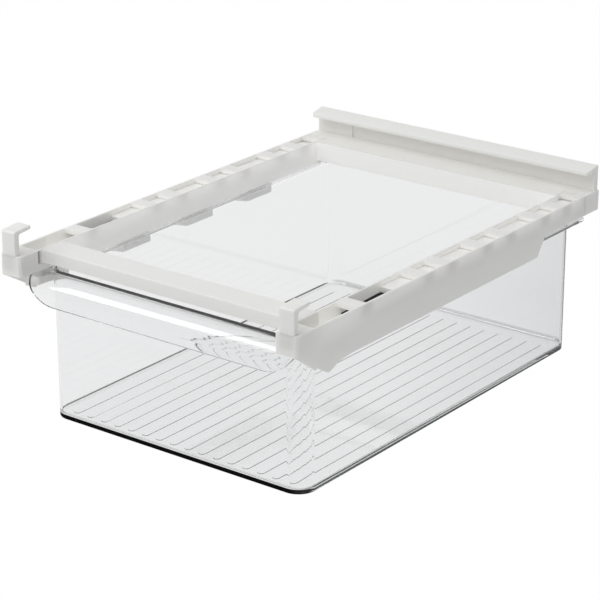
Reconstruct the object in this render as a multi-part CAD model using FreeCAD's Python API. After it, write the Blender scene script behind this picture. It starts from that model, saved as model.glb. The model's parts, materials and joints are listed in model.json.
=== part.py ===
"""Under-shelf fridge drawer: a clear bin that runs in two hanging rails.

Every size is in millimetres.  X runs across, Y runs from the pull towards the
back of the shelf and Z is up.  The origin is the middle of the footprint, on the
surface that the bin stands on.
"""
import FreeCAD, Part
import os

Vector = FreeCAD.Vector

# ---- driving dimensions: bin ----
bin_width = 198.4
bin_corner = 12.0
bin_wall = 2.5                  # front and back
bin_side_wall = 1.6
bin_floor = 3.0
bin_foot_radius = 0.5
bin_floor_radius = 1.5          # inside, where the walls meet the floor
runner_height = 95.8            # upper face of the side runners
runner_thickness = 2.2
runner_reach = 12.3             # how far a runner stands out from the side wall
runner_start = 10.0             # bin's front to the runner's front end
runner_tail = 5.0               # the runner's rear end to the bin's back
runner_corner = 3.0
front_rise = 2.4                # front wall over the runners
rib_count = 16
rib_side_margin = 12.85         # side wall to the middle of the outer rib
rib_width = 5.0
rib_height = 0.35
rib_bevel = 0.25
rib_front_margin = 7.0
rib_rear_margin = 16.0
pull_reach = 15.0
pull_bend = 13.0
pull_drop = 17.4                # front wall's top down to the edge of the pull
pull_overhang = 6.8             # how far the pull is wider than the bin, each side
pull_corner = 25.0
pull_thickness = 2.2

# ---- driving dimensions: rails ----
rail_length = 308.2             # block face to the rear end of the rail
rail_width = 16.4
rail_height = 16.2              # inner wall
rail_overlap = 1.4              # inner wall over the bin's side wall
rail_wall = 1.6
rail_plate = 2.8                # ladder plate over the channel
rail_floor = 2.0                # plate under the arm
rail_tail = 57.2                # rear part with a shallow outer wall
rail_tail_slope = 9.0           # run of the sloped step before it
rail_edge_radius = 0.5
nose_start = 29.4               # block face to the lowest point of the outer wall
nose_run = 22.0                 # from that point back to the straight lower edge
nose_dip = 5.1                  # how much lower that point lies than the edge
nose_sag = 1.0                  # the same, halfway along the run
block_length = 17.1             # solid part in front of the first pocket
block_chamfer = 1.4
pocket_lengths = (39.0, 52.0, 14.0, 28.0, 16.0, 29.0, 15.0, 15.0)
pocket_corner = 0.8
rail_end_web = 7.1              # last pocket to the rail's end

# ---- driving dimensions: runner tabs ----
tab_count = 3
tab_length = 28.0
tab_first = 95.6                # block face to the first tab
tab_margin = 0.6                # last tab to the step of the outer wall
tab_depth = 6.9                 # tab's face to the outer wall's lower edge
front_tab_start = 19.0
front_tab_length = 27.0
tab_plate = 2.0
tab_lip_height = 4.9
tab_rib = 1.4
tab_corner = 3.0

# ---- driving dimensions: cross-bar and hooks ----
bar_depth = 18.9
bar_height = 8.5
bar_wall = 1.8
bar_setback = 19.9              # block face to the cross-bar's face
bar_fillet = 3.6
bar_rib_count = 5
tenon_length = 12.0
hook_width = 10.5
hook_thickness = 4.1
hook_offset = 2.3               # hook's outer side, in from the rail's outer wall
hook_gap = 13.1                 # shelf space under the hook, at its post
hook_reach = 14.4               # block face to the tip
hook_lip = 2.3
hook_rise = 0.9                 # how much the lip climbs to its tip
hook_round = 1.5
hook_seat = 0.5                 # how deep the hook's foot stands in the block's top
hook_heel = 0.8                 # how far the foot runs on behind the post
peg_depth = 9.0
peg_shoulder = 0.9

# ---- driving dimensions: rear channel and arms ----
rear_end_depth = 17.2           # its ends, from the rails to the back
rear_front_reach = 10.0         # how far its middle reaches forward between the rails
rear_wall = 2.0
rear_back = 4.4                 # thickness of the upright back wall
rear_recess = 1.2               # shallow panel in the front of that wall
rear_recess_margin = 14.1       # rail's inner wall to that panel
rear_lip_rise = 17.1            # lip's back edge over the top plane
rear_lip_depth = 12.8
rear_lip_fall = 2.5             # how much lower the lip's front edge lies
rear_lip_thickness = 2.6
rear_lip_inset = 1.2            # its ends, in from the rails' outer walls
rear_lip_corner = 2.5
rear_rib_count = 5
arm_length = 209.0              # from its front end to the rail's rear end
arm_wall = 1.8
arm_rib_count = 6
arm_plug_length = 10.0
tongue_length = 39.0
tongue_drop = 3.3               # tongue's root under the arm's top face
tongue_fall = 1.2               # how much lower its tip lies
tongue_thickness = 2.0
pad_thickness = 0.6

# ---- clearances ----
slide_gap = 0.3                 # arm in its rail, runner on its tabs
roof_gap = 0.4                  # runner under the rail's inner wall
pull_gap = 0.7                  # pull under the blocks
side_gap = 0.7                  # bin's side wall beside the tabs
plug_gap = 0.08                 # pegs and plugs in their sockets
bin_setback = 24.1              # block face to the bin's front wall
bin_rear_gap = 5.3              # bin's back wall to the back of the rear channel

# ---- modelling ----
past = 1.0                      # how far a cutter runs past the face it opens
near = 0.01                     # how close an edge lies to a place to be picked

# ---- places that follow from the sizes ----
front_y = -(rail_length + rear_end_depth) / 2
back_y = -front_y
rail_end_y = front_y + rail_length
bin_y = front_y + bin_setback
bin_depth = back_y - bin_rear_gap - bin_y
bar_y = front_y + bar_setback
rail_in = bin_width / 2 - rail_overlap
rail_out = rail_in + rail_width
channel_in = rail_in + rail_wall
channel_out = rail_out - rail_wall
tab_in = bin_width / 2 + side_gap
inner_bottom = runner_height + roof_gap
rail_top = inner_bottom + rail_height
plate_bottom = rail_top - rail_plate
front_height = runner_height + front_rise
tube_bottom = front_height + pull_gap
channel_bottom = tube_bottom + rail_floor
tab_top = runner_height - runner_thickness - slide_gap
skirt_bottom = tab_top - tab_depth
skirt_end_y = rail_end_y - rail_tail
tab_pitch = (skirt_end_y - tab_margin - tab_length - front_y - tab_first) / (tab_count - 1)
pocket_web = (rail_length - block_length - rail_end_web - sum(pocket_lengths)) / (len(pocket_lengths) - 1)


def box(x0, x1, y0, y1, z0, z1):
    """A block between two corners."""
    return Part.makeBox(x1 - x0, y1 - y0, z1 - z0, Vector(x0, y0, z0))


def prism(points, direction):
    """A closed outline of straight edges, pushed along a vector."""
    wire = Part.makePolygon([Vector(*p) for p in points] + [Vector(*points[0])])
    return Part.Face(wire).extrude(Vector(*direction))


def fuse(shapes):
    """One clean solid from touching shapes."""
    return shapes[0].multiFuse(list(shapes[1:])).removeSplitter()


def round_edges(shape, radius, wanted):
    """Fillet the edges that the test picks."""
    edges = [edge for edge in shape.Edges if wanted(edge)]
    return shape.makeFillet(radius, edges)


def chamfer_edges(shape, size, wanted):
    """Bevel the edges that the test picks."""
    edges = [edge for edge in shape.Edges if wanted(edge)]
    return shape.makeChamfer(size, edges)


def vertical(edge):
    """True for a straight edge along Z."""
    span = edge.BoundBox
    return span.XLength < near and span.YLength < near and span.ZLength > near


def rounded_box(x0, x1, y0, y1, z0, z1, radius):
    """A block with its four upright edges rounded."""
    return round_edges(box(x0, x1, y0, y1, z0, z1), radius, vertical)


def mirrored(shape):
    """The same piece for the left side."""
    return shape.mirror(Vector(0, 0, 0), Vector(1, 0, 0))


def centred(count, pitch):
    """Places of a row of equal steps about zero."""
    return [(i - (count - 1) / 2) * pitch for i in range(count)]


# ---- rail ----
def rail_skirt():
    """Outer wall with its sloped nose, straight lower edge and rear step."""
    nose_y = front_y + nose_start
    outline = [
        (channel_out, front_y, rail_top),
        (channel_out, front_y, tube_bottom),
        (channel_out, nose_y, skirt_bottom - nose_dip),
        (channel_out, nose_y + nose_run / 2, skirt_bottom - nose_sag),
        (channel_out, nose_y + nose_run, skirt_bottom),
        (channel_out, skirt_end_y, skirt_bottom),
        (channel_out, skirt_end_y + rail_tail_slope, tube_bottom),
        (channel_out, rail_end_y, tube_bottom),
        (channel_out, rail_end_y, rail_top),
    ]
    wall = prism(outline, (rail_wall, 0, 0))

    def step_corner(edge):
        at = edge.CenterOfMass
        return edge.BoundBox.XLength > rail_wall / 2 and abs(at.y - skirt_end_y) < near

    return round_edges(wall, rail_tail_slope / 3, step_corner)


def runner_tab(y0, length, bottom):
    """Shelf that carries the bin's runner: plate, turned-down lip and ribs."""
    y1 = y0 + length
    plate = box(tab_in, channel_out, y0, y1, tab_top - tab_plate, tab_top)
    lip_bottom = max(bottom, tab_top - tab_lip_height)
    lip = box(tab_in, tab_in + tab_rib, y0, y1, lip_bottom, tab_top)
    pieces = [plate, lip]
    for rib_y in (y0, (y0 + y1 - tab_rib) / 2, y1 - tab_rib):
        outline = [
            (tab_in, rib_y, tab_top - tab_plate / 2),
            (tab_in, rib_y, lip_bottom),
            (channel_out, rib_y, bottom),
            (channel_out, rib_y, tab_top - tab_plate / 2),
        ]
        pieces.append(prism(outline, (0, tab_rib, 0)))
    tab = fuse(pieces)
    corner_cut = box(tab_in - past, tab_in + tab_corner, y1 - tab_corner, y1 + past,
                     lip_bottom - past, tab_top + past)
    corner_rod = Part.makeCylinder(tab_corner, tab_top - lip_bottom + 2 * past,
                                   Vector(tab_in + tab_corner, y1 - tab_corner, lip_bottom - past))
    return tab.cut(corner_cut.cut(corner_rod))


def bar_tenon(gap):
    """Rail's plug in the hollow end of the cross-bar, or with a gap its socket."""
    inset = bar_wall + plug_gap - gap
    return box(rail_in - tenon_length - gap, rail_in, bar_y + inset, bar_y + bar_depth - inset,
               rail_top - bar_height + bar_wall, rail_top - inset)


def hook_peg(gap):
    """Peg of the hook in the block, or with a gap its socket."""
    x1 = rail_out - hook_offset - peg_shoulder + gap
    x0 = rail_out - hook_offset - hook_width + peg_shoulder - gap
    return box(x0, x1, front_y + peg_shoulder - gap, front_y + hook_thickness - peg_shoulder + gap,
               rail_top - peg_depth - gap, rail_top)


def hook_seat_cut():
    """Shallow rebate in the block's top for the hook's foot."""
    x1 = rail_out - hook_offset
    return box(x1 - hook_width - plug_gap, x1 + plug_gap,
               front_y - past, front_y + hook_thickness + hook_heel + plug_gap,
               rail_top - hook_seat, rail_top + past)


def ladder_pockets():
    """Cutters for the row of pockets, with equal webs between them."""
    cutters = []
    y = front_y + block_length
    for length in pocket_lengths:
        cutters.append(rounded_box(channel_in, channel_out, y, y + length,
                                   plate_bottom - past, rail_top + past, pocket_corner))
        y += length + pocket_web
    return cutters


def rail():
    """Right rail: tube with a ladder top, deep outer wall, nose block and tabs."""
    tube = box(rail_in, rail_out, front_y, rail_end_y, tube_bottom, rail_top)
    inner_wall = box(rail_in, channel_in, front_y + nose_start, rail_end_y, inner_bottom, rail_top)
    channel = box(channel_in, channel_out, front_y + block_length, rail_end_y, channel_bottom, plate_bottom)
    body = fuse([tube, inner_wall, rail_skirt()]).cut(channel)
    for cutter in ladder_pockets():
        body = body.cut(cutter)
    tabs = [runner_tab(front_y + tab_first + i * tab_pitch, tab_length, skirt_bottom)
            for i in range(tab_count)]
    tabs.append(runner_tab(front_y + front_tab_start, front_tab_length, skirt_bottom - nose_sag))
    body = fuse([body, bar_tenon(0)] + tabs)

    def block_corner(edge):
        at = edge.CenterOfMass
        return vertical(edge) and abs(at.y - front_y) < near and at.z > tube_bottom

    body = chamfer_edges(body, block_chamfer, block_corner)

    def top_edge(edge):
        at = edge.CenterOfMass
        outer = abs(at.x - rail_out) < near or abs(at.x - rail_in) < near
        return outer and abs(at.z - rail_top) < near and edge.BoundBox.YLength > rail_width

    body = round_edges(body, rail_edge_radius, top_edge)
    return body.cut(fuse([hook_peg(plug_gap), hook_seat_cut()]))


# ---- cross-bar ----
def crossbar():
    """Inverted channel between the rails, with ribs under it and coved ends."""
    z0 = rail_top - bar_height
    y1 = bar_y + bar_depth
    bar = box(-rail_in, rail_in, bar_y, y1, z0, rail_top)
    bar = round_edges(bar, rail_edge_radius, lambda e: e.BoundBox.XLength > rail_in
                      and e.CenterOfMass.z > rail_top - near)
    bar = bar.cut(box(-rail_in - past, rail_in + past, bar_y + bar_wall, y1 - bar_wall,
                      z0 - past, rail_top - bar_wall))
    pieces = [bar]
    for x in centred(bar_rib_count, 2 * rail_in / (bar_rib_count + 1)):
        pieces.append(box(x - bar_wall / 2, x + bar_wall / 2, bar_y + bar_wall / 2, y1 - bar_wall / 2,
                          z0 + bar_wall, rail_top - bar_wall / 2))
    for side in (-1, 1):
        xs = sorted((side * rail_in, side * (rail_in - bar_fillet)))
        cove = box(xs[0], xs[1], bar_y - bar_fillet, bar_y + bar_wall, z0, rail_top - rail_edge_radius)
        rod = Part.makeCylinder(bar_fillet, bar_height, Vector(side * (rail_in - bar_fillet),
                                                               bar_y - bar_fillet, z0))
        pieces.append(cove.cut(rod))
    return fuse(pieces)


# ---- hook ----
def hook():
    """Right shelf hook: post with a turned-back lip and a peg under it."""
    x1 = rail_out - hook_offset
    x0 = x1 - hook_width
    back = front_y + hook_thickness
    tip = front_y + hook_reach
    under = rail_top + hook_gap
    foot = rail_top - hook_seat
    outline = [
        (x0, front_y, foot),
        (x0, back + hook_heel, foot),
        (x0, back + hook_heel, rail_top),
        (x0, back, rail_top),
        (x0, back, under),
        (x0, tip, under + hook_rise),
        (x0, tip, under + hook_rise + hook_lip),
        (x0, front_y, under + hook_lip),
    ]
    shape = prism(outline, (hook_width, 0, 0))

    def front_top(edge):
        at = edge.CenterOfMass
        return edge.BoundBox.XLength > hook_width / 2 and at.z > under + hook_lip / 2 and at.y < back

    def inner_corner(edge):
        at = edge.CenterOfMass
        return edge.BoundBox.XLength > hook_width / 2 and abs(at.z - under) < near and abs(at.y - back) < near

    shape = round_edges(shape, hook_round, front_top)
    shape = round_edges(shape, hook_round, inner_corner)
    return fuse([shape, hook_peg(0)])


# ---- rear channel ----
def arm_box():
    """Outer corners of the arm's section inside the rail."""
    return (channel_in + slide_gap, channel_out - slide_gap,
            channel_bottom + slide_gap, plate_bottom - slide_gap)


def arm_plug(gap):
    """Rear end of the arm in the rear channel, or with a gap its socket."""
    x0, x1, z0, z1 = arm_box()
    inset = arm_wall - gap
    return box(x0 + inset, x1 - inset, rail_end_y, rail_end_y + arm_plug_length + gap, z0 + inset, z1 - inset)


def rear_channel():
    """Rear cross-channel with its upright wall and the lip that grips the shelf."""
    z0 = tube_bottom
    wall_y = back_y - rear_back
    y0 = rail_end_y - rear_front_reach
    end_y = rail_end_y + slide_gap
    inner = rail_in - slide_gap
    middle = box(-inner, inner, y0, wall_y, z0, rail_top)
    hollow = box(-inner - past, inner + past, y0 + rear_wall, wall_y, z0 - past, rail_top - rear_wall)
    middle = middle.cut(hollow)
    pieces = [middle]
    for x in centred(rear_rib_count, 2 * rail_in / (rear_rib_count + 1)):
        pieces.append(box(x - rear_wall / 2, x + rear_wall / 2, y0 + rear_wall / 2, wall_y + rear_wall / 2,
                          z0 + rear_wall, rail_top - rear_wall / 2))
    lip_half = rail_out - rear_lip_inset
    pieces.append(box(-lip_half, lip_half, wall_y, back_y, z0, rail_top + rear_lip_rise - rear_lip_thickness))
    for side in (-1, 1):
        xs = sorted((side * (rail_in - rear_wall), side * rail_out))
        pieces.append(box(xs[0], xs[1], end_y, back_y, z0, rail_top))
    lip_top = rail_top + rear_lip_rise
    tip_y = back_y - rear_lip_depth
    root_z = lip_top - rear_lip_thickness - rear_lip_fall * rear_back / rear_lip_depth
    lip = prism([
        (-lip_half, back_y, lip_top),
        (-lip_half, back_y, root_z),
        (-lip_half, wall_y, root_z),
        (-lip_half, tip_y, lip_top - rear_lip_fall - rear_lip_thickness),
        (-lip_half, tip_y, lip_top - rear_lip_fall),
    ], (2 * lip_half, 0, 0))

    def tip_corner(edge):
        at = edge.CenterOfMass
        return edge.BoundBox.XLength < near and abs(at.y - tip_y) < near

    lip = round_edges(lip, rear_lip_corner, tip_corner)
    body = fuse(pieces + [lip])
    recess_half = rail_in - rear_recess_margin
    body = body.cut(box(-recess_half, recess_half, wall_y - near, wall_y + rear_recess,
                        rail_top, rail_top + rear_lip_rise - rear_lip_fall - rear_lip_thickness))
    socket = arm_plug(plug_gap)
    body = body.cut(socket).cut(mirrored(socket))
    return round_edges(body, rear_lip_thickness / 3, lambda e: e.BoundBox.XLength > rail_out
                       and e.CenterOfMass.z > lip_top - near)


# ---- arm ----
def tongue_top(y):
    """Height of the tongue's face at a place along it."""
    root_z = plate_bottom - slide_gap - tongue_drop
    root_y = rail_end_y - arm_length
    return root_z - tongue_fall * (root_y - y) / tongue_length


def arm():
    """Right arm: ribbed channel in the rail, with a tongue in front."""
    x0, x1, z0, z1 = arm_box()
    y0 = rail_end_y - arm_length
    bar = box(x0, x1, y0, rail_end_y + slide_gap, z0, z1)
    bar = bar.cut(box(x0 + arm_wall, x1 - arm_wall, y0 + arm_wall, rail_end_y - arm_wall,
                      z0 - past, z1 - arm_wall))
    pieces = [bar, arm_plug(0)]
    pitch = (arm_length - arm_wall) / (arm_rib_count + 1)
    for i in range(arm_rib_count):
        rib_y = y0 + pitch * (i + 1)
        pieces.append(box(x0 + arm_wall / 2, x1 - arm_wall / 2, rib_y, rib_y + arm_wall,
                          z0 + arm_wall / 2, z1 - arm_wall / 2))
    tip = y0 - tongue_length
    low = tongue_thickness + pad_thickness
    pieces.append(prism([
        (x0, y0, tongue_top(y0) - pad_thickness),
        (x0, y0, tongue_top(y0) - low),
        (x0, tip, tongue_top(tip) - low),
        (x0, tip, tongue_top(tip) - pad_thickness),
    ], (x1 - x0, 0, 0)))
    return fuse(pieces)


def grip_pad():
    """Thin soft strip on the right arm's tongue."""
    x0, x1, z0, z1 = arm_box()
    y0 = rail_end_y - arm_length
    tip = y0 - tongue_length
    return prism([
        (x0, y0, tongue_top(y0)),
        (x0, y0, tongue_top(y0) - pad_thickness),
        (x0, tip, tongue_top(tip) - pad_thickness),
        (x0, tip, tongue_top(tip)),
    ], (x1 - x0, 0, 0))


# ---- bin ----
def bin_cavity():
    """The space inside the bin."""
    half = bin_width / 2 - bin_side_wall
    space = rounded_box(-half, half, bin_y + bin_wall, bin_y + bin_depth - bin_wall,
                        bin_floor, front_height + past, bin_corner - bin_wall)
    return round_edges(space, bin_floor_radius, lambda e: e.CenterOfMass.z < bin_floor + near)


def bin_shell():
    """Rounded tub, higher at the front than along its sides, with its runners."""
    half = bin_width / 2
    y1 = bin_y + bin_depth
    outer = rounded_box(-half, half, bin_y, y1, 0, front_height, bin_corner)
    outer = round_edges(outer, bin_foot_radius, lambda e: e.CenterOfMass.z < near)
    high = front_height + past
    low_side = box(rail_in - slide_gap, half + past, bin_y - past, y1 + past, runner_height, high)
    low_back = box(-half - past, half + past, bin_y + bin_corner, y1 + past, runner_height, high)
    outer = outer.cut(fuse([low_side, low_back, mirrored(low_side)]))
    return fuse([outer, runner(), mirrored(runner())]).cut(bin_cavity())


def runner():
    """Flat runner along the right side of the bin."""
    half = bin_width / 2
    plate = box(half - bin_corner, half + runner_reach, bin_y + runner_start, bin_y + bin_depth - runner_tail,
                runner_height - runner_thickness, runner_height)
    return chamfer_edges(plate, runner_corner, lambda e: vertical(e) and e.CenterOfMass.x > half)


def floor_ribs():
    """Low round-ended strips on the floor, which let air under the food."""
    y0 = bin_y + rib_front_margin
    y1 = bin_y + bin_depth - rib_rear_margin
    top = bin_floor + rib_height
    rib_pitch = (bin_width - 2 * rib_side_margin - 2 * bin_side_wall) / (rib_count - 1)
    half = rib_width / 2
    strip = rounded_box(-half, half, y0, y1, bin_floor / 2, top, half - near)
    strip = chamfer_edges(strip, rib_bevel, lambda e: e.CenterOfMass.z > top - near)
    return [strip.translated(Vector(x, 0, 0)) for x in centred(rib_count, rib_pitch)]


def pull():
    """Turned-down lip along the front edge, with large lower corners."""
    top = front_height
    low = top - pull_drop
    face = bin_y - pull_reach
    rear = bin_y + bin_wall
    half = bin_width / 2 + pull_overhang
    back = face + pull_thickness
    under = top - pull_thickness
    sheet = prism([
        (-half, rear, top),
        (-half, face, top),
        (-half, face, low),
        (-half, back, low),
        (-half, back, under),
        (-half, rear, under),
    ], (2 * half, 0, 0))

    def bend(y, z):
        return lambda e: (e.BoundBox.XLength > half and abs(e.CenterOfMass.y - y) < near
                          and abs(e.CenterOfMass.z - z) < near)

    sheet = round_edges(sheet, pull_bend, bend(face, top))
    sheet = round_edges(sheet, pull_bend - pull_thickness, bend(back, under))
    blank = box(-half, half, face - past, rear + past, low, top + pull_corner)
    blank = round_edges(blank, pull_corner, lambda e: e.BoundBox.YLength > pull_reach
                        and abs(e.CenterOfMass.z - low) < near)
    plan = rounded_box(-half, half, face, rear + pull_reach, low - past, top + past, pull_reach / 2)
    return sheet.common(blank).common(plan)


def drawer_bin():
    """The whole clear moulding."""
    return fuse([bin_shell(), pull()] + floor_ribs())


def main():
    os.makedirs("parts", exist_ok=True)
    right = {"rail": rail(), "hook": hook(), "arm": arm(), "grip_pad": grip_pad()}
    nodes = {"front_crossbar": crossbar(), "rear_channel": rear_channel(), "drawer_bin": drawer_bin()}
    for name, shape in right.items():
        nodes[name + "_right"] = shape
        nodes[name + "_left"] = mirrored(shape)
    for name, shape in nodes.items():
        shape.exportStep("parts/" + name + ".step")
        span = shape.BoundBox
        print(name, shape.isValid(), len(shape.Solids), round(shape.Volume / 1000, 2),
              [round(v, 2) for v in (span.XMin, span.XMax, span.YMin, span.YMax, span.ZMin, span.ZMax)])


main()
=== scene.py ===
import json
import math

import bmesh
import bpy
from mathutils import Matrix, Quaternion, Vector


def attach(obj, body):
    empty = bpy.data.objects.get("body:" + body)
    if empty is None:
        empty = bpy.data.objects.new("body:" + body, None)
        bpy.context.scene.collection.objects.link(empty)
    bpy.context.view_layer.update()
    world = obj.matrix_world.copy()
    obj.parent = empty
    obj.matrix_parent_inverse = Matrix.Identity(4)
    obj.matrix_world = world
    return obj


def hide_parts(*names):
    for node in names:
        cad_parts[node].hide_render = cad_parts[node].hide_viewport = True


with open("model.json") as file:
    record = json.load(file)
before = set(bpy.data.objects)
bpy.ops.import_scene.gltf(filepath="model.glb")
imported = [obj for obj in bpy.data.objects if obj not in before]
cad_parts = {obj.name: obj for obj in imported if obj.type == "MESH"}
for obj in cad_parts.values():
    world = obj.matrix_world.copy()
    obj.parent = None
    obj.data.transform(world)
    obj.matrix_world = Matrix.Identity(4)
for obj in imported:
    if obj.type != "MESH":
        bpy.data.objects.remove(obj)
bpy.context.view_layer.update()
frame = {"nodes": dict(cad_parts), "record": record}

# ---- sizes in metres ----
MM = 0.001
WELD = 0.002 * MM
EDGE_ROUND = 0.3 * MM
CLEAR_EDGE_ROUND = 0.35 * MM
SHARP_ANGLE = math.radians(38)
FLAT_ANGLE = math.radians(1.5)
PINCH_ANGLE = math.radians(30)
ARC_STEP = math.radians(3)
ARC_PLAY = 0.15 * MM

# ---- round stretches of the bin ----
BIN_SIDE = 99.2 * MM
BIN_FRONT = -138.6 * MM
BIN_BACK = 157.4 * MM
BIN_CORNER = 12.0 * MM
BIN_WALL = 2.5 * MM
BIN_SIDE_WALL = 1.6 * MM
FOOT_RADIUS = 0.5 * MM
FLOOR_RADIUS = 1.5 * MM
PULL_FACE = BIN_FRONT - 15.0 * MM
PULL_TOP = 98.2 * MM
PULL_BEND = 13.0 * MM
PULL_THICKNESS = 2.2 * MM
PULL_STRAIGHT = 96 * MM

# ---- camera ----
CAMERA_PLACE = Vector((0.84443, -1.11228, 0.59639))
CAMERA_AIM = Vector((0.07322, -0.10673, 0.10794))
CAMERA_ROLL = math.radians(-0.103)
CAMERA_LENS = 140.04
CAMERA_SENSOR = 36.0

# ---- light ----
KEY_DIRECTION = Vector((-0.12, -0.4, 0.91))
KEY_DISTANCE = 2.4
KEY_SIZE = 2.6
KEY_POWER = 21.0
STRIP_PLACE = Vector((-0.865, -0.63, 0.875))
STRIP_WIDTH = 0.4
STRIP_HEIGHT = 1.0
STRIP_POWER = 3.0
WORLD_LIGHT = 0.54
FLOOR_SIZE = 24.0
FLOOR_DROP = 0.6 * MM
FLOOR_COLOUR = (0.82, 0.82, 0.82)
BACKGROUND_SEEN = 1.01
BACKGROUND_THROUGH = 0.94
FLOOR_SEEN_SHARE = 0.975
FLOOR_THROUGH_SHARE = 0.78

# ---- rails and rear channel, as the finishes need them ----
RAIL_FRONT = -162.7 * MM
RAIL_LENGTH = 308.2 * MM
RAIL_END = RAIL_FRONT + RAIL_LENGTH
RAIL_INSIDE = 97.8 * MM
RAIL_OUTSIDE = 114.2 * MM
RAIL_SIDE = 113.6 * MM
RAIL_TOP = 112.3 * MM
TAB_SIDE = 85.8 * MM
BAR_BACK = -123.9 * MM
CHANNEL_FRONT = 135.5 * MM
BLOCK_LENGTH = 17.1 * MM
END_WEB = 7.1 * MM
POCKET_LENGTHS = [length * MM for length in (39, 52, 14, 28, 16, 29, 15, 15)]
POCKET_WEB = ((RAIL_LENGTH - BLOCK_LENGTH - END_WEB - sum(POCKET_LENGTHS))
              / (len(POCKET_LENGTHS) - 1))

# ---- white plastic ----
WHITE = ((0.94, 0.93, 0.89), (0.955, 0.945, 0.91))
# WHITE_SHADED is painted shade on the rails' upper sides beside the webs.
WHITE_SHADED = ((0.83, 0.825, 0.795), (0.845, 0.84, 0.81))
SOFT_EDGE = 1.0 * MM
SIDE_SKIN = 0.2 * MM
SIDE_SKIN_FADE = 0.1 * MM
# POCKET_GLOW, WALL_GLOW and FACE_GLOW are painted light inside the rails and on the channel face.
POCKET_GLOW = 0.045
WALL_GLOW = 0.14
FACE_GLOW = 0.13
# LIT_ sizes place painted light beside the pockets and painted shade beside the webs, on the rails' sides.
LIT_SHIFT = 2.0 * MM
LIT_EDGE = 6.0 * MM
LIT_TOP = 3.5 * MM
LIT_DEPTH = 9.0 * MM
LIT_GLOW = 0.035
LIT_START = BAR_BACK - 20 * MM
LIT_START_FADE = 10 * MM

# ---- clear plastic ----
CLEAR_DENSITY = 10.0
FOOT_SHADE_TOP = 3.3 * MM
FOOT_SHADE_EDGE = 0.3 * MM
FOOT_LINE = 1.3 * MM
RIB_TOP = 3.35 * MM
FLOOR_TOP = 3.0 * MM
RUNNER_LOW = 93.6 * MM
FINE = 0.03 * MM
# BACK_SHADE_START and CLEAR_SHADE: painted shade on the right wall toward the rear and in the floor's back
# corner.
BACK_SHADE_START = -60 * MM
CLEAR_TINT = (0.985, 0.987, 0.99)
CLEAR_SHADE = (0.7, 0.7, 0.71)
# The foot colours and the black share are painted shade on the bin's foot, nearly black at the front.
FOOT_SIDE_PAINTED_SHADE = (0.5, 0.54, 0.52)
FOOT_FRONT_PAINTED_SHADE = (0.03, 0.035, 0.035)
FOOT_BLACK_SHARE = 0.94
# LINE_SHARE and LINE_GLOW: painted highlight, a light line above the front foot.
LINE_SHARE = 0.8
LINE_GLOW = 0.9
# RIB_GLOW and RUNNER_GLOW: painted light on the ribs and along the runners.
RIB_GLOW = 0.17
RUNNER_GLOW = 0.04

BODY_OF = {node: body
           for body, nodes in frame["record"]["behaviour"]["bodies"].items()
           for node in nodes}


class Value:
    """A socket inside a material: sums on it add Math nodes."""

    def __init__(self, finish, socket):
        self.finish = finish
        self.socket = socket

    def __add__(self, other):
        return self.finish.math("ADD", self, other)

    def __mul__(self, other):
        return self.finish.math("MULTIPLY", self, other)

    def __sub__(self, other):
        return self.finish.math("SUBTRACT", self, other)

    def __rsub__(self, other):
        return self.finish.math("SUBTRACT", other, self)

    __radd__ = __add__
    __rmul__ = __mul__


class Finish:
    """A material or world, built node by node."""

    def __init__(self, owner):
        owner.use_nodes = True
        self.tree = owner.node_tree
        self.tree.nodes.clear()

    def node(self, kind, settings=None, inputs=None, output=0):
        """Adds a node, sets it up, feeds its sockets and returns one of its outputs."""
        made = self.tree.nodes.new(kind)
        for name, setting in (settings or {}).items():
            setattr(made, name, setting)
        for name, given in (inputs or {}).items():
            if isinstance(given, Value):
                self.tree.links.new(given.socket, made.inputs[name])
            else:
                made.inputs[name].default_value = given
        if not len(made.outputs):
            return made
        return Value(self, made.outputs[output])

    def math(self, operation, first, second):
        """One Math node on two values."""
        return self.node("ShaderNodeMath", {"operation": operation}, {0: first, 1: second})

    def between(self, share, low, high):
        """A colour between two others."""
        mix = self.tree.nodes.new("ShaderNodeMix")
        mix.data_type = "RGBA"
        self.tree.links.new(share.socket, mix.inputs["Factor"])
        for socket, colour in ((mix.inputs[6], low), (mix.inputs[7], high)):
            if isinstance(colour, Value):
                self.tree.links.new(colour.socket, socket)
            else:
                socket.default_value = (*colour, 1)
        return Value(self, mix.outputs[2])

    def parts(self, vector):
        """The three numbers of a vector."""
        split = self.tree.nodes.new("ShaderNodeSeparateXYZ")
        self.tree.links.new(vector.socket, split.inputs[0])
        return [Value(self, output) for output in split.outputs]

    def ramp(self, value, start, end):
        """0 up to the start, 1 from the end on."""
        return self.node("ShaderNodeMapRange", None,
                         {"Value": value, "From Min": start, "From Max": end})

    def mixed(self, share, first, second):
        """One shader laid over another."""
        return self.node("ShaderNodeMixShader", None, {0: share, 1: first, 2: second})

    def place(self):
        """Where a point lies on the piece, in metres."""
        return self.node("ShaderNodeTexCoord", None, None, "Object")

    def noise(self, size, detail=2.0):
        """Soft patches about this many metres across."""
        return self.node("ShaderNodeTexNoise", None,
                         {"Vector": self.place(), "Scale": 1 / size, "Detail": detail}, "Fac")

    def bump(self, height, depth, strength):
        """A surface raised by a height from 0 to 1."""
        return self.node("ShaderNodeBump", None,
                         {"Height": height, "Distance": depth, "Strength": strength})


def material(name):
    """A new material and the finish that builds it."""
    made = bpy.data.materials.new(name)
    made.cycles.emission_sampling = "NONE"
    return made, Finish(made)


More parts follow.
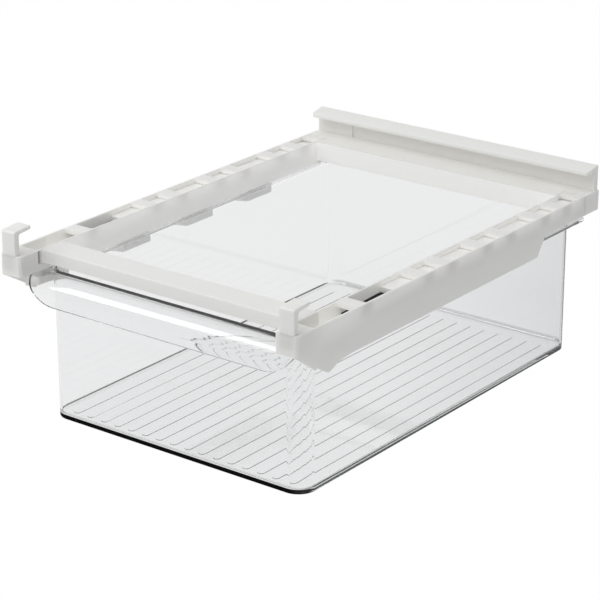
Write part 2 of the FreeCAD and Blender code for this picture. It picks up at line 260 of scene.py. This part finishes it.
# ---- finishes ----
def painted_inner_glow(finish, across, y, z):
    """Painted light: a faint glow inside the rails and on the front face of the rear channel."""
    below_top = finish.ramp(z, RAIL_TOP, RAIL_TOP - SOFT_EDGE)
    wall = finish.ramp(across, RAIL_INSIDE + 2 * SOFT_EDGE, RAIL_INSIDE + SOFT_EDGE)
    rails = (finish.ramp(across, RAIL_SIDE, RAIL_SIDE - SOFT_EDGE)
             * finish.ramp(across, TAB_SIDE - SOFT_EDGE, TAB_SIDE)
             * below_top
             * finish.ramp(y, BAR_BACK, BAR_BACK + SOFT_EDGE)
             * finish.ramp(y, CHANNEL_FRONT, CHANNEL_FRONT - SOFT_EDGE)
             * (POCKET_GLOW + wall * (WALL_GLOW - POCKET_GLOW)))
    face = (finish.ramp(across, RAIL_INSIDE + SOFT_EDGE, RAIL_INSIDE)
            * below_top
            * finish.ramp(y, CHANNEL_FRONT - SOFT_EDGE, CHANNEL_FRONT)
            * finish.ramp(y, CHANNEL_FRONT + 3 * SOFT_EDGE, CHANNEL_FRONT + 2 * SOFT_EDGE))
    return rails + face * FACE_GLOW


def beside_pockets(finish, y):
    """1 along each pocket of the ladder and 0 along the webs, with soft ends."""
    share = 0
    start = RAIL_FRONT + BLOCK_LENGTH + LIT_SHIFT
    for length in POCKET_LENGTHS:
        end = start + length
        share = share + finish.ramp(y, start, start + LIT_EDGE) * finish.ramp(y, end + LIT_EDGE, end)
        start = end + POCKET_WEB
    return share


def upper_sides(finish, across, y, z):
    """1 on the upper part of the rails' two upright sides."""
    outer = finish.ramp(across, RAIL_OUTSIDE - SIDE_SKIN, RAIL_OUTSIDE - SIDE_SKIN_FADE)
    inner = (finish.ramp(across, RAIL_INSIDE + SIDE_SKIN, RAIL_INSIDE + SIDE_SKIN_FADE)
             * finish.ramp(across, RAIL_INSIDE - SIDE_SKIN, RAIL_INSIDE - SIDE_SKIN_FADE))
    return ((outer + inner)
            * finish.ramp(z, RAIL_TOP - LIT_DEPTH, RAIL_TOP - LIT_TOP)
            * finish.ramp(z, RAIL_TOP, RAIL_TOP - SIDE_SKIN)
            * finish.ramp(y, LIT_START, LIT_START + LIT_START_FADE)
            * finish.ramp(y, RAIL_END, RAIL_END - LIT_EDGE))


def white_plastic():
    """Satin white moulding with a fine grain and random patches of tone; painted shade beside the webs and
    painted glows stand in for light in thin walls.
    """
    made, finish = material("satin_white_plastic")
    patches = finish.noise(35 * MM)
    grain = finish.noise(0.35 * MM, 3.0)
    x, y, z = finish.parts(finish.place())
    across = finish.math("ABSOLUTE", x, 0)
    upper = upper_sides(finish, across, y, z)
    beside = beside_pockets(finish, y)
    surface = finish.node("ShaderNodeBsdfPrincipled", None, {
        # Base colour: painted shade on the rails' upper sides beside the webs.
        "Base Color": finish.between(upper * (1 - beside), finish.between(patches, *WHITE),
                                     finish.between(patches, *WHITE_SHADED)),
        "Roughness": grain * 0.12 + 0.32,
        "IOR": 1.47,
        "Subsurface Weight": 0.8,
        "Subsurface Radius": (1.0, 1.0, 1.0),
        "Subsurface Scale": 2.0 * MM,
        # Emission: painted light inside the rails, on the channel face and beside the pockets.
        "Emission Color": painted_inner_glow(finish, across, y, z) + upper * beside * LIT_GLOW,
        "Emission Strength": 1.0,
        "Normal": finish.bump(grain, 0.02 * MM, 0.35),
    })
    finish.node("ShaderNodeOutputMaterial", None, {"Surface": surface})
    return made


def clear_plastic():
    """Clear moulding with painted shade on its front foot and toward the right rear, a painted highlight
    line above the foot, and painted glows on its ribs and runners.
    """
    made, finish = material("clear_plastic")
    ripple = finish.noise(40 * MM, 1.0)
    x, y, z = finish.parts(finish.place())
    past_x = finish.math("MAXIMUM", finish.math("ABSOLUTE", x, 0) - (BIN_SIDE - BIN_CORNER), 0)
    past_y = finish.math("MAXIMUM", (BIN_FRONT + BIN_CORNER) - y, 0)
    outward = finish.math("SQRT", past_x * past_x + past_y * past_y, 0)
    outside = finish.ramp(outward, BIN_CORNER - FOOT_RADIUS - ARC_PLAY, BIN_CORNER - FOOT_RADIUS)
    # foot: where painted shade darkens the bin's outer foot.
    foot = outside * finish.ramp(z, FOOT_SHADE_TOP, FOOT_SHADE_TOP - FOOT_SHADE_EDGE)
    # above: a thin band over the foot that takes the painted highlight.
    above = (outside * finish.ramp(z, FOOT_SHADE_TOP + FOOT_LINE, FOOT_SHADE_TOP + FOOT_SHADE_EDGE)
             - foot)
    front = finish.ramp(y, BIN_FRONT + BIN_CORNER, BIN_FRONT)
    # ribs and runners: bands that take painted light as emission.
    ribs = finish.ramp(z, FLOOR_TOP, FLOOR_TOP + FINE) * finish.ramp(z, RIB_TOP, RIB_TOP - FINE)
    runners = (finish.ramp(z, RUNNER_LOW - FLOOR_RADIUS, RUNNER_LOW)
               * finish.ramp(finish.math("ABSOLUTE", x, 0), BIN_SIDE - BIN_WALL, BIN_SIDE - BIN_SIDE_WALL))
    # Painted shade in the inner corner between floor and back wall.
    painted_corner_shade = (finish.ramp(y, BIN_BACK - 2 * BIN_WALL, BIN_BACK - BIN_WALL - FLOOR_RADIUS)
            * finish.ramp(z, FLOOR_TOP + 1.2 * FLOOR_RADIUS, FLOOR_TOP + FLOOR_RADIUS))
    # Painted shade darkening the right wall toward the rear.
    back = finish.ramp(y, BACK_SHADE_START, BIN_BACK) * finish.ramp(x, BIN_SIDE - BIN_SIDE_WALL, BIN_SIDE)
    shade = finish.math("MAXIMUM", back, painted_corner_shade)
    tint_and_painted_shade = finish.between(shade, CLEAR_TINT, CLEAR_SHADE)
    foot_painted_shade = finish.between(front, FOOT_SIDE_PAINTED_SHADE, FOOT_FRONT_PAINTED_SHADE)
    surface = finish.node("ShaderNodeBsdfPrincipled", None, {
        "Base Color": finish.between(foot, tint_and_painted_shade, foot_painted_shade),
        "Roughness": finish.noise(8 * MM) * 0.02,
        "IOR": 1.5,
        "Transmission Weight": 1.0,
        "Emission Color": ribs * RIB_GLOW + runners * RUNNER_GLOW,
        "Emission Strength": 1.0,
        "Normal": finish.bump(ripple, 0.5 * MM, 0.06),
    })
    # A black surface laid over the front foot as painted shade.
    painted_black = finish.node("ShaderNodeBsdfDiffuse", None, {"Color": (0.002, 0.002, 0.002, 1)})
    # Emission for the painted highlight line above the foot.
    shine = finish.node("ShaderNodeEmission", None, {"Strength": LINE_GLOW})
    surface = finish.mixed(foot * front * FOOT_BLACK_SHARE, surface, painted_black)
    surface = finish.mixed(above * front * LINE_SHARE, surface, shine)
    rays = finish.tree.nodes.new("ShaderNodeLightPath")
    lamp_ray = finish.math("MAXIMUM", Value(finish, rays.outputs["Is Shadow Ray"]),
                           Value(finish, rays.outputs["Is Diffuse Ray"]))
    open_way = finish.node("ShaderNodeBsdfTransparent", None, {"Color": (0.97, 0.97, 0.975, 1)})
    depth = finish.node("ShaderNodeVolumeAbsorption", None,
                        {"Color": (0.42, 0.5, 0.5, 1), "Density": CLEAR_DENSITY})
    finish.node("ShaderNodeOutputMaterial", None,
                {"Surface": finish.mixed(lamp_ray, surface, open_way), "Volume": depth})
    return made


def dark_grip():
    """Soft dark strip with a fine matt grain."""
    made, finish = material("dark_grip")
    grain = finish.noise(0.5 * MM)
    surface = finish.node("ShaderNodeBsdfPrincipled", None, {
        "Base Color": finish.between(grain, (0.004, 0.004, 0.004), (0.012, 0.012, 0.012)),
        "Roughness": grain * 0.15 + 0.6,
        "Specular IOR Level": 0.25,
        "Normal": finish.bump(grain, 0.03 * MM, 0.5),
    })
    finish.node("ShaderNodeOutputMaterial", None, {"Surface": surface})
    return made


# ---- pieces ----
def pinched(edge, end, sharp):
    """True if another sharp edge leaves that end at a narrow angle, where no round fits."""
    way = (edge.other_vert(end).co - end.co).normalized()
    return any(way.angle(other.other_vert(end).co - end.co) < PINCH_ANGLE
               for other in end.link_edges if other is not edge and other in sharp)


def narrow(edge, width):
    """True if a face beside the edge is too narrow for a round."""
    return any(face.calc_area() < width * edge.calc_length() for face in edge.link_faces)


def finer_arc(shape, centre, axis, start, radius, fillet):
    """Cuts the facets of a quarter turn into narrow equal ones that lie on the true curve."""
    reach = shape.verts.layers.float.new("reach")
    side = axis.cross(start)

    def across(vert):
        way = vert.co - centre
        return way - axis * way.dot(axis)

    def on_arc(vert):
        way = across(vert)
        return (radius - fillet - ARC_PLAY < way.length < radius + ARC_PLAY
                and way.dot(start) > -ARC_PLAY and way.dot(side) > -ARC_PLAY)

    turns = {0, math.pi / 2}
    for vert in shape.verts:
        way = across(vert)
        vert[reach] = way.length
        if on_arc(vert) and abs(way.length - radius) < WELD:
            turns.add(round(math.atan2(way.dot(side), way.dot(start)), 3))
    turns = sorted(turns)
    kept = set(shape.verts)
    for low, high in zip(turns, turns[1:]):
        steps = round((high - low) / ARC_STEP)
        for step in range(1, steps):
            turn = low + (high - low) * step / steps
            faces = [face for face in shape.faces if all(on_arc(vert) for vert in face.verts)]
            parts = {part for face in faces for part in (*face.edges, *face.verts)}
            bmesh.ops.bisect_plane(shape, geom=faces + list(parts), dist=WELD, plane_co=centre,
                                   plane_no=side * math.cos(turn) - start * math.sin(turn))
    for vert in set(shape.verts) - kept:
        way = across(vert)
        vert.co += way * (vert[reach] / way.length - 1)
    shape.verts.layers.float.remove(reach)
    return [face for face in shape.faces if all(on_arc(vert) for vert in face.verts)]


def finer_bin(shape):
    """Smooth corners and a smooth bend for the clear bin, which would show facets."""
    up = Vector((0, 0, 1))
    inner = BIN_CORNER - BIN_WALL
    for side in (-1, 1):
        for end, edge in ((-1, BIN_FRONT), (1, BIN_BACK)):
            start = Vector((side, 0, 0)) if side == end else Vector((0, end, 0))
            y = edge - end * BIN_CORNER
            outer_centre = Vector((side * (BIN_SIDE - BIN_CORNER), y, 0))
            finer_arc(shape, outer_centre, up, start, BIN_CORNER, FOOT_RADIUS)
            inner_centre = Vector((side * (BIN_SIDE - BIN_SIDE_WALL - inner), y, 0))
            finer_arc(shape, inner_centre, up, start, inner, FLOOR_RADIUS)
    bend_centre = Vector((0, PULL_FACE + PULL_BEND, PULL_TOP - PULL_BEND))
    for radius in (PULL_BEND, PULL_BEND - PULL_THICKNESS):
        for x in (-PULL_STRAIGHT, PULL_STRAIGHT):
            faces = finer_arc(shape, bend_centre, Vector((-1, 0, 0)), Vector((0, -1, 0)), radius, 0)
            parts = {part for face in faces for part in (*face.edges, *face.verts)}
            bmesh.ops.bisect_plane(shape, geom=faces + list(parts), dist=WELD,
                                   plane_co=(x, 0, 0), plane_no=(1, 0, 0))


def moulding(node, edge_round, refine=None):
    """A node's own shape with its faces joined and its sharp edges slightly rounded."""
    shape = bmesh.new()
    shape.from_mesh(frame["nodes"][node].data)
    bmesh.ops.remove_doubles(shape, verts=shape.verts, dist=WELD)
    bmesh.ops.dissolve_limit(shape, angle_limit=FLAT_ANGLE, verts=shape.verts, edges=shape.edges)
    if refine:
        refine(shape)
    sharp = {edge for edge in shape.edges if edge.calc_face_angle() > SHARP_ANGLE}
    roomy = {edge for edge in sharp if not narrow(edge, 2 * edge_round)}
    bmesh.ops.triangulate(shape, faces=shape.faces)
    rounded = [edge for edge in roomy if not any(pinched(edge, end, sharp) for end in edge.verts)]
    bmesh.ops.bevel(shape, geom=rounded, offset=edge_round, offset_type="OFFSET", segments=2,
                    profile=0.5, affect="EDGES", clamp_overlap=False, material=-1)
    for face in shape.faces:
        face.smooth = True
    for edge in shape.edges:
        edge.smooth = edge.calc_face_angle() < SHARP_ANGLE
    mesh = bpy.data.meshes.new(node + "_moulding")
    shape.to_mesh(mesh)
    shape.free()
    piece = bpy.data.objects.new(node + "_moulding", mesh)
    bpy.context.scene.collection.objects.link(piece)
    normals = piece.modifiers.new("flat faces stay flat", "WEIGHTED_NORMAL")
    normals.keep_sharp = True
    return piece


REFINED = {"drawer_bin": finer_bin}


def dress(node, finish, edge_round):
    """The finished piece that stands for a node."""
    piece = moulding(node, edge_round, REFINED.get(node))
    piece.data.materials.append(finish)
    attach(piece, BODY_OF[node])
    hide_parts(node)
    return piece


def dress_all():
    """Every node in its finish."""
    finishes = {
        "white_plastic": (white_plastic(), EDGE_ROUND),
        "clear_plastic": (clear_plastic(), CLEAR_EDGE_ROUND),
        "dark_grip": (dark_grip(), EDGE_ROUND / 2),
    }
    for subpart in frame["record"]["subparts"]:
        slot = subpart["material_slot"]
        finish, edge_round = finishes[slot]
        dress(subpart["node"], finish, edge_round)


# ---- stage ----
def background_rays(finish):
    """1 for rays from the camera, and 1 for rays that glass or gloss sends on."""
    rays = finish.tree.nodes.new("ShaderNodeLightPath")
    seen = Value(finish, rays.outputs["Is Camera Ray"])
    through = finish.math("MAXIMUM", Value(finish, rays.outputs["Is Glossy Ray"]),
                          Value(finish, rays.outputs["Is Transmission Ray"]))
    return seen, through


def floor():
    """Plain pale floor that keeps a soft trace of shadow."""
    made, finish = material("pale_floor")
    seen, through = background_rays(finish)
    plain = finish.node("ShaderNodeBsdfDiffuse", None, {"Color": (*FLOOR_COLOUR, 1)})
    bright = finish.node("ShaderNodeEmission", None,
                         {"Strength": seen * BACKGROUND_SEEN + through * BACKGROUND_THROUGH})
    surface = finish.mixed(seen * FLOOR_SEEN_SHARE + through * FLOOR_THROUGH_SHARE, plain, bright)
    finish.node("ShaderNodeOutputMaterial", None, {"Surface": surface})
    shape = bmesh.new()
    bmesh.ops.create_grid(shape, x_segments=1, y_segments=1, size=FLOOR_SIZE / 2)
    bmesh.ops.translate(shape, verts=shape.verts, vec=(0, 0, -FLOOR_DROP))
    mesh = bpy.data.meshes.new("floor")
    shape.to_mesh(mesh)
    shape.free()
    mesh.materials.append(made)
    sheet = bpy.data.objects.new("floor", mesh)
    bpy.context.scene.collection.objects.link(sheet)


def surroundings():
    """White room: plain light on the part, and white where the camera looks."""
    world = bpy.data.worlds.new("studio")
    bpy.context.scene.world = world
    finish = Finish(world)
    seen, through = background_rays(finish)
    strength = ((1 - seen - through) * WORLD_LIGHT
                + seen * BACKGROUND_SEEN + through * BACKGROUND_THROUGH)
    light = finish.node("ShaderNodeBackground", None, {"Strength": strength})
    finish.node("ShaderNodeOutputWorld", None, {"Surface": light})


def lamp(name, place, shape, width, height, power):
    """A soft lamp that faces the part."""
    light = bpy.data.lights.new(name, "AREA")
    light.shape = shape
    light.size = width
    light.size_y = height
    light.energy = power
    box = bpy.data.objects.new(name, light)
    box.location = place
    box.rotation_euler = place.to_track_quat("Z", "Y").to_euler()
    bpy.context.scene.collection.objects.link(box)


def lamps():
    """A large soft box overhead, and a narrow one at the left for the shine on the pull."""
    lamp("soft_box", KEY_DIRECTION.normalized() * KEY_DISTANCE, "SQUARE", KEY_SIZE, KEY_SIZE, KEY_POWER)
    lamp("strip_box", STRIP_PLACE, "ELLIPSE", STRIP_WIDTH, STRIP_HEIGHT, STRIP_POWER)


def camera():
    """Long lens from the right front, a little above."""
    eye = bpy.data.cameras.new("camera")
    eye.lens = CAMERA_LENS
    eye.sensor_width = CAMERA_SENSOR
    stand = bpy.data.objects.new("camera", eye)
    turn = (CAMERA_AIM - CAMERA_PLACE).to_track_quat("-Z", "Y")
    stand.location = CAMERA_PLACE
    stand.rotation_euler = (turn @ Quaternion((0, 0, 1), CAMERA_ROLL)).to_euler()
    bpy.context.scene.collection.objects.link(stand)
    bpy.context.scene.camera = stand


dress_all()
floor()
surroundings()
lamps()
camera()
bpy.context.scene.view_settings.view_transform = "Standard"
